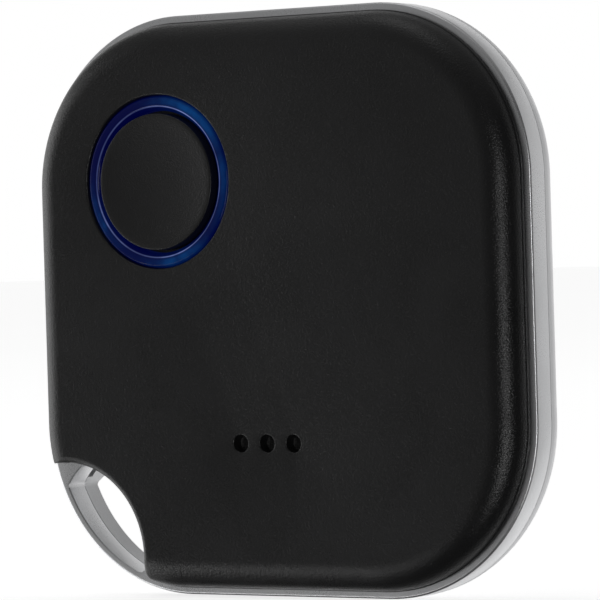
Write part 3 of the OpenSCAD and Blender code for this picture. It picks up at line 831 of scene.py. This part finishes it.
def brushed(name, colour, roughness=0.28, stretch=(14, 14, 0.5), depth=0.003):
    """Rolled or brushed metal: grain drawn out along one direction, in roughness and bump."""
    made, tree, shader = blank(name)
    lines = grouped(tree, GRAIN, Per_mm=stretch, Fineness=1.8)
    patch = grouped(tree, SMUDGE, Per_mm=same(0.4)).outputs["Patch"]
    tone = blended(tree, patch, shade(colour, 0.9), shade(colour, 1))
    rough = ranged(tree, lines.outputs["Speckle"], 0, 1, roughness - 0.08, roughness + 0.12)
    sockets(tree, shader, Base_Color=tone, Roughness=rough, Metallic=1.0,
            Normal=bumped(tree, lines.outputs["Height"], depth))
    return made


def blue_with_painted_glow(name):
    """Translucent blue light guide: deep blue, with painted light in wide lighter patches, a painted
    highlight as a pale emissive line along the crest of its bevel, a painted glow in emission over the whole
    ring though it is no lamp, and a fine moulded waviness."""
    made, tree, shader = blank(name)
    across, _, up = millimetres(tree)
    x = calc(tree, "SUBTRACT", across, BUTTON[0])
    y = calc(tree, "SUBTRACT", up, BUTTON[1] + MIDDLE / MM)
    radius, angle = length(tree, x, y), calc(tree, "ARCTAN2", y, x)
    crest_r, band_r = 4.68, 5.0
    # painted highlight: a thin pale line round the crest of the bevel
    crest = ranged(tree, calc(tree, "ABSOLUTE", calc(tree, "SUBTRACT", radius, crest_r)), 0.01, 0.055, 1, 0)
    # painted light: wide lighter patches at four angles round the ring, in base colour and emission
    painted_light_patches = 0.0
    for degrees, sharpness, amount in ((58, 7, 1.0), (207, 14, 0.7), (284, 9, 0.75), (0, 12, 0.5)):
        near = calc(tree, "COSINE", calc(tree, "SUBTRACT", angle, math.radians(degrees)))
        patch = calc(tree, "POWER", calc(tree, "MAXIMUM", near, 0.0), float(sharpness))
        painted_light_patches = calc(tree, "ADD", calc(tree, "MULTIPLY", patch, amount), painted_light_patches)
    band = ranged(tree, calc(tree, "ABSOLUTE", calc(tree, "SUBTRACT", radius, band_r)), 0.1, 0.32, 1, 0.15)
    share = calc(tree, "MULTIPLY", painted_light_patches, band)
    waves = grouped(tree, GRAIN, Per_mm=same(1.2), Fineness=1.6)
    feeds = {"Vector": scaled_place(tree, same(0.9)), "Scale": 1, "Detail": 3}
    streaks = put(tree, "TexNoise", feeds).outputs[0]
    share = calc(tree, "MULTIPLY", share, ranged(tree, streaks, 0.35, 0.62, 0.35, 1))
    tone = blended(tree, share, (0.0, 0.001, 0.03, 1), (0.0, 0.02, 0.1, 1))
    # painted glow: emission in the ring's own blue, lighter in the painted light patches
    painted_glow = blended(tree, share, (0.0, 0.0006, 0.026, 1), (0.001, 0.034, 0.13, 1))
    # the painted crest highlight, strongest in the painted light patches, goes into the emission
    painted_crest_highlight = calc(tree, "MULTIPLY", crest, calc(tree, "MULTIPLY", ranged(tree, streaks, 0.35, 0.6, 0.5, 1),
                                             ranged(tree, painted_light_patches, 0, 1, 0.3, 1)))
    painted_glow = blended(tree, painted_crest_highlight, painted_glow, (0.17, 0.22, 0.5, 1))
    # all emission here is painted light: the ring is no lamp
    sockets(tree, shader, Base_Color=tone, Roughness=0.16, Specular_IOR_Level=0.15, Emission_Color=painted_glow,
            Emission_Strength=1.0, Normal=bumped(tree, waves.outputs["Height"], 0.004))
    return made


def part_bare(name, colour, metal, roughness=0.45, metal_roughness=0.3):
    """A part with bare metal where its attribute says so, under fine grain."""
    made, tree, shader = blank(name)
    share = put(tree, "Attribute", attribute_name="metal").outputs["Fac"]
    grain = grouped(tree, GRAIN, Per_mm=same(14))
    speckle = grain.outputs["Speckle"]
    body = blended(tree, speckle, shade(colour, 0.85), shade(colour, 1.12))
    bright = blended(tree, speckle, shade(metal, 0.88), shade(metal, 1))
    rough = calc(tree, "ADD", ranged(tree, share, 0, 1, roughness, metal_roughness),
                 calc(tree, "MULTIPLY", speckle, 0.08))
    sockets(tree, shader, Base_Color=blended(tree, share, body, bright), Metallic=share, Roughness=rough,
            Normal=bumped(tree, grain.outputs["Height"], 0.006))
    return made


def cells_group():
    """Square cells on the board's face: the place in a cell from -0.5 to 0.5, and the cell's own
    random number."""
    tree, given, out = shader_group("cells", [("Per mm", (1, 1, 1))], ["Across", "Up", "Random"])
    split = put(tree, "SeparateXYZ", {0: scaled_place(tree, given.outputs["Per mm"])})
    across, up = split.outputs[0], split.outputs[2]
    for axis, label in ((across, "Across"), (up, "Up")):
        tree.links.new(calc(tree, "SUBTRACT", calc(tree, "FRACT", axis), 0.5), out.inputs[label])
    corner = put(tree, "CombineXYZ", {0: calc(tree, "FLOOR", across), 1: calc(tree, "FLOOR", up)}).outputs[0]
    tree.links.new(put(tree, "TexWhiteNoise", {"Vector": corner}).outputs["Value"], out.inputs["Random"])
    return tree


def solder_mask(name):
    """Circuit board: copper tracks show through green mask, with gilt vias and a bare glass-fibre
    edge. Each cell joins the middles of its sides by two slanted tracks, or by a cross."""
    made, tree, shader = blank(name)
    cell = grouped(tree, cells_group(), Per_mm=same(1.6))
    across, up, chance = [cell.outputs[label] for label in ("Across", "Up", "Random")]
    flipped = calc(tree, "MULTIPLY", across, calc(tree, "SIGN", calc(tree, "SUBTRACT", chance, 0.4)))
    slant = calc(tree, "SUBTRACT", calc(tree, "ABSOLUTE", calc(tree, "ADD", flipped, up)), 0.5)
    slant = calc(tree, "ABSOLUTE", slant)
    cross = calc(tree, "MINIMUM", calc(tree, "ABSOLUTE", across), calc(tree, "ABSOLUTE", up))
    crossed = calc(tree, "GREATER_THAN", chance, 0.8)
    gap = ranged(tree, crossed, 0, 1, slant, cross)
    track = ranged(tree, gap, 0.09, 0.13, 1, 0)
    reach = length(tree, across, up)
    some = calc(tree, "GREATER_THAN", chance, 0.9)
    ring = calc(tree, "MULTIPLY", calc(tree, "LESS_THAN", reach, 0.3), some)
    drilled = calc(tree, "MULTIPLY", calc(tree, "LESS_THAN", reach, 0.14), some)
    facing = put(tree, "SeparateXYZ", {0: put(tree, "TexCoord").outputs["Normal"]}).outputs[1]
    cut = calc(tree, "LESS_THAN", calc(tree, "ABSOLUTE", facing), 0.5)
    gilt = calc(tree, "MULTIPLY", ring, calc(tree, "SUBTRACT", 1.0, calc(tree, "MAXIMUM", cut, drilled)))
    tone = blended(tree, track, (0.003, 0.035, 0.014, 1), (0.008, 0.075, 0.03, 1))
    tone = blended(tree, gilt, tone, (0.85, 0.6, 0.25, 1))
    tone = blended(tree, drilled, tone, grey(0.01))
    grain = grouped(tree, GRAIN, Per_mm=same(9))
    fibre = blended(tree, grain.outputs["Speckle"], (0.32, 0.3, 0.14, 1), (0.5, 0.47, 0.26, 1))
    height = calc(tree, "ADD", track, calc(tree, "MULTIPLY", grain.outputs["Height"], 0.12))
    rough = calc(tree, "ADD", ranged(tree, cut, 0, 1, 0.3, 0.7), calc(tree, "MULTIPLY", gilt, 0.05))
    sockets(tree, shader, Base_Color=blended(tree, cut, tone, fibre), Metallic=gilt, Roughness=rough,
            Normal=bumped(tree, height, 0.02))
    return made


def epoxy(name, node):
    """Chip package: matt epoxy with a pin-one dimple in one corner and a row of tinned pads at the
    foot of its sides."""
    low, high = lying_box(node)
    made, tree, shader = blank(name)
    across, backwards, up = millimetres(tree)
    up = calc(tree, "SUBTRACT", up, MIDDLE / MM)
    depth = calc(tree, "SUBTRACT", BACK / MM, backwards)
    width = high[0] - low[0]
    inset = 0.16 * width
    x = calc(tree, "SUBTRACT", across, low[0] + inset)
    y = calc(tree, "SUBTRACT", up, high[1] - inset)
    dimple = ranged(tree, length(tree, x, y), 0.07 * width, 0.09 * width, 1, 0)
    pitch, pad_h = 0.4, 0.2
    teeth = calc(tree, "MULTIPLY", *[calc(tree, "SINE", calc(tree, "MULTIPLY", axis, 2 * math.pi / pitch))
                                     for axis in (across, up)])
    foot = calc(tree, "GREATER_THAN", depth, high[2] - pad_h)
    pads = calc(tree, "MULTIPLY", foot, calc(tree, "GREATER_THAN", calc(tree, "ABSOLUTE", teeth), 0.35))
    grain = grouped(tree, GRAIN, Per_mm=same(12))
    matt = blended(tree, grain.outputs["Speckle"], grey(0.012), grey(0.02))
    matt = blended(tree, dimple, matt, grey(0.035))
    height = calc(tree, "SUBTRACT", calc(tree, "MULTIPLY", grain.outputs["Height"], 0.15), dimple)
    sockets(tree, shader, Base_Color=blended(tree, pads, matt, grey(0.7)), Metallic=pads,
            Roughness=ranged(tree, dimple, 0, 1, 0.55, 0.3), Normal=bumped(tree, height, 0.03))
    return made


def foamed(name, colour):
    """Closed-cell foam: round cells of two sizes in colour and bump."""
    made, tree, shader = blank(name)
    place = scaled_place(tree, same(3.5))
    big = put(tree, "TexVoronoi", {"Vector": place, "Scale": 1}).outputs[0]
    small = put(tree, "TexVoronoi", {"Vector": place, "Scale": 2.7}).outputs[0]
    pore = calc(tree, "ADD", calc(tree, "MULTIPLY", big, 0.7), calc(tree, "MULTIPLY", small, 0.4))
    tone = blended(tree, ranged(tree, pore, 0.2, 0.8, 0, 1), shade(colour, 0.5), shade(colour, 1.3))
    sockets(tree, shader, Base_Color=tone, Roughness=ranged(tree, pore, 0.2, 0.8, 0.95, 0.75),
            Normal=bumped(tree, pore, 0.12))
    return made


def woven(name):
    """Acoustic mesh: two crossing sets of threads, over and under each other in turn."""
    made, tree, shader = blank(name)
    across, _, up = millimetres(tree)
    turns = 2 * math.pi * 3.2           # three and a fifth waves of thread to a millimetre
    warp, weft = [calc(tree, "SINE", calc(tree, "MULTIPLY", axis, turns)) for axis in (across, up)]
    over = ranged(tree, calc(tree, "MULTIPLY", warp, weft), -1, 1, 0, 1)
    thread = calc(tree, "MAXIMUM", calc(tree, "ABSOLUTE", warp), calc(tree, "ABSOLUTE", weft))
    height = calc(tree, "ADD", thread, calc(tree, "MULTIPLY", over, 0.5))
    sockets(tree, shader, Base_Color=blended(tree, thread, grey(0.008), grey(0.09)),
            Roughness=ranged(tree, over, 0, 1, 0.5, 0.7), Normal=bumped(tree, height, 0.05))
    return made


def electrode(name):
    """Buzzer's ceramic disc: a fired silver electrode with a pale bare rim round it."""
    made, tree, shader = blank(name)
    low, high = lying_box("buzzer_ceramic")
    across, _, up = millimetres(tree)
    x = calc(tree, "SUBTRACT", across, (low[0] + high[0]) / 2)
    y = calc(tree, "SUBTRACT", up, (low[1] + high[1]) / 2 + MIDDLE / MM)
    bare, soft = 0.35, 0.04             # the bare rim's width and the electrode's soft edge
    edge = (high[0] - low[0]) / 2 - bare
    fired = ranged(tree, length(tree, x, y), edge - soft, edge + soft, 1, 0)
    grain = grouped(tree, GRAIN, Per_mm=same(5))
    tone = blended(tree, grain.outputs["Speckle"], grey(0.62), grey(0.74))
    sockets(tree, shader, Base_Color=blended(tree, fired, (0.7, 0.66, 0.55, 1), tone),
            Metallic=calc(tree, "MULTIPLY", fired, 0.85),
            Roughness=ranged(tree, grain.outputs["Speckle"], 0, 1, 0.4, 0.6),
            Normal=bumped(tree, grain.outputs["Height"], 0.012))
    return made


def lamp_lens(name):
    """Lamp package: milky resin with a yellow phosphor tint that deepens with the depth."""
    made, tree, shader = blank(name)
    depth = millimetres(tree)[1]
    low, high = lying_box(name)
    share = ranged(tree, depth, BACK / MM - high[2], BACK / MM - low[2], 0, 1)
    grain = grouped(tree, GRAIN, Per_mm=same(10))
    tone = blended(tree, share, (0.85, 0.83, 0.7, 1), (0.8, 0.7, 0.25, 1))
    sockets(tree, shader, Base_Color=tone, Roughness=ranged(tree, grain.outputs["Speckle"], 0, 1, 0.25, 0.4),
            Normal=bumped(tree, grain.outputs["Height"], 0.008))
    return made


# ---- light ----

def softbox(name, azimuth, elevation, distance, size, power):
    """An area light at an azimuth (0 in front, positive to the right) that faces the tag's middle."""
    a, e = math.radians(azimuth), math.radians(elevation)
    away = Vector((math.sin(a) * math.cos(e), -math.cos(a) * math.cos(e), math.sin(e)))
    data = bpy.data.lights.new(name, "AREA")
    data.shape = "RECTANGLE"
    data.size, data.size_y = size
    data.energy = power
    lamp = bpy.data.objects.new(name, data)
    lamp.visible_camera = False
    lamp.location = Vector((0, 0, MIDDLE)) + away * distance
    lamp.rotation_euler = away.to_track_quat("Z", "Y").to_euler()
    bpy.context.scene.collection.objects.link(lamp)


def studio():
    """White where it is seen straight; what the tag mirrors is dim in front and to the right, and
    brighter behind, to the left and above. Each lobe is a soft patch round a direction: from low to
    high, the cosine of the angle to it carries the patch from nothing to its amount."""
    world = bpy.data.worlds.new("studio")
    bpy.context.scene.world = world
    world.use_nodes = True
    tree = world.node_tree
    sky = tree.nodes["Background"]
    way = put(tree, "TexCoord").outputs["Generated"]
    level, even = 0.0, 0.05
    lobes = [((-0.57, 0.82, 0.05), 0.7, 0.97, 0.9), ((0.34, 0.94, 0.0), 0.68, 0.97, 0.56),
             ((-0.2, 0.8, 0.6), 0.8, 0.97, 0.05), ((0, 0.8, -0.6), 0.8, 0.97, 0.5),
             ((-0.75, -0.65, 0.2), 0.4, 0.95, 0.19), ((0, 0, 1), 0.5, 0.95, 0.2)]
    for direction, low, high, amount in lobes:
        along = put(tree, "VectorMath", {0: way, 1: Vector(direction).normalized()}, operation="DOT_PRODUCT")
        patch = ranged(tree, along.outputs[1], low, high, 0, 1)
        level = calc(tree, "ADD", level, calc(tree, "MULTIPLY", patch, amount))
    level = calc(tree, "ADD", level, even)
    seen = put(tree, "LightPath").outputs["Is Camera Ray"]
    tree.links.new(blended(tree, seen, level, grey(1.0)), sky.inputs["Color"])
    softbox("right_strip", 48, -14, 0.5, (0.035, 0.4), 0.45)
    softbox("low_strip", -42, -32, 0.5, (0.3, 0.03), 0.14)
    softbox("left_box", -86, -12, 0.6, (0.46, 0.7), 1.3)
    softbox("top_box", -60, 74, 0.6, (0.4, 0.2), 0.2)


def floor():
    """A pale floor, wide enough to reach past the view, bright enough to melt into the backdrop."""
    half = 3.0
    x, y = np.meshgrid([-half, half], [-half, half])
    mesh = bpy.data.meshes.new("floor")
    corners = np.stack([x, y, 0 * x], -1).reshape(-1, 3)
    mesh.from_pydata(corners.tolist(), [], [(0, 1, 3, 2)])
    made = bpy.data.objects.new("floor", mesh)
    bpy.context.scene.collection.objects.link(made)
    finish, tree, shader = blank("pale_floor")
    patch = grouped(tree, SMUDGE, Per_mm=same(0.01)).outputs["Patch"]
    sockets(tree, shader, Base_Color=blended(tree, patch, grey(0.8), grey(0.82)), Roughness=0.9,
            Emission_Color=grey(1.0), Emission_Strength=0.75, Specular_IOR_Level=0.0)
    mesh.materials.append(finish)
    made.visible_glossy = False
    made.visible_diffuse = False
    made.visible_shadow = False


def assigned(made, finish):
    """Gives an object one material."""
    made.data.materials.clear()
    made.data.materials.append(finish)


# ---- the tag and its finishes ----

camera()
skins = [
    shell_skin(), frame_skin(), cover_skin(), ring_skin(), cap_skin(), can_skin(), lid_skin(), coil_skin(),
    end_capped("capacitor_chips", "board_capacitors", 0.24),
    end_capped("resistor_chips", "board_resistors", 0.22),
    end_capped("antenna_chip", "chip_antenna", 0.55),
]
studio()
floor()
bpy.context.scene.view_settings.view_transform = "Standard"

BLACK = (0.0085, 0.0085, 0.009)
STEEL, NICKEL = (0.62, 0.61, 0.59), (0.7, 0.68, 0.63)
GILT, BRASS = (0.9, 0.66, 0.3), (0.83, 0.6, 0.28)
TIN, COPPER = (0.74, 0.74, 0.73), (0.75, 0.34, 0.17)
FINISHES = {
    "front_shell": moulded("front_shell", BLACK, roughness=0.28, spread=0.06, dust=0.04),
    "button_cap": moulded("button_cap", BLACK, roughness=0.34, spread=0.1, per_mm=8, depth=0.016),
    "trim_frame": silvered("trim_frame"),
    "rear_cover": silvered("rear_cover", roughness=0.4, metallic=0.85),
    "light_ring": blue_with_painted_glow("light_ring"),
    "main_board": solder_mask("main_board"),
    "switch_body": moulded("switch_body", (0.02, 0.02, 0.021), roughness=0.5, per_mm=14),
    "switch_cover": brushed("switch_cover", STEEL),
    "switch_dome": brushed("switch_dome", STEEL, roughness=0.22),
    "switch_plunger": moulded("switch_plunger", (0.6, 0.58, 0.5), roughness=0.4, per_mm=14),
    "ring_leds": lamp_lens("ring_leds"),
    "radio_chip": epoxy("radio_chip", "radio_chip"),
    "radio_crystal": brushed("radio_crystal", STEEL, roughness=0.25, stretch=(12, 12, 1)),
    "chip_antenna": part_bare("chip_antenna", (0.62, 0.6, 0.54), TIN),
    "buzzer_driver": epoxy("buzzer_driver", "buzzer_driver"),
    "boost_coil": part_bare("boost_coil", (0.035, 0.034, 0.033), COPPER, roughness=0.6),
    "board_capacitors": part_bare("board_capacitors", (0.33, 0.2, 0.11), TIN),
    "board_resistors": part_bare("board_resistors", (0.014, 0.014, 0.016), TIN),
    "test_pads": brushed("test_pads", GILT, roughness=0.25, stretch=(9, 9, 9)),
    "buzzer_plate": brushed("buzzer_plate", BRASS, roughness=0.3, stretch=(0.6, 12, 12)),
    "buzzer_ceramic": electrode("buzzer_ceramic"),
    "buzzer_foam": foamed("buzzer_foam", (0.03, 0.03, 0.03)),
    "buzzer_springs": brushed("buzzer_springs", GILT),
    "dust_mesh": woven("dust_mesh"),
    "cell_cradle": moulded("cell_cradle", (0.62, 0.59, 0.5), roughness=0.5, per_mm=9, dust=0.0),
    "negative_contact": brushed("negative_contact", GILT, stretch=(12, 12, 0.6)),
    "positive_contact": brushed("positive_contact", GILT, stretch=(0.6, 12, 12)),
    "cell_can": brushed("cell_can", NICKEL, roughness=0.3, stretch=(0.5, 10, 9)),
    "cell_pellet": moulded("cell_pellet", (0.03, 0.03, 0.032), roughness=0.9, per_mm=7, depth=0.06),
    "cell_seal": moulded("cell_seal", (0.05, 0.05, 0.055), roughness=0.4, per_mm=10),
    "cell_lid": brushed("cell_lid", NICKEL, roughness=0.26, stretch=(0.5, 10, 9)),
    "cover_pad": foamed("cover_pad", (0.035, 0.035, 0.037)),
}
for name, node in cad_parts.items():
    assigned(node, FINISHES[name])
    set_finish(node, name)
for skin in skins:
    assigned(skin, FINISHES[skin["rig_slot"]])
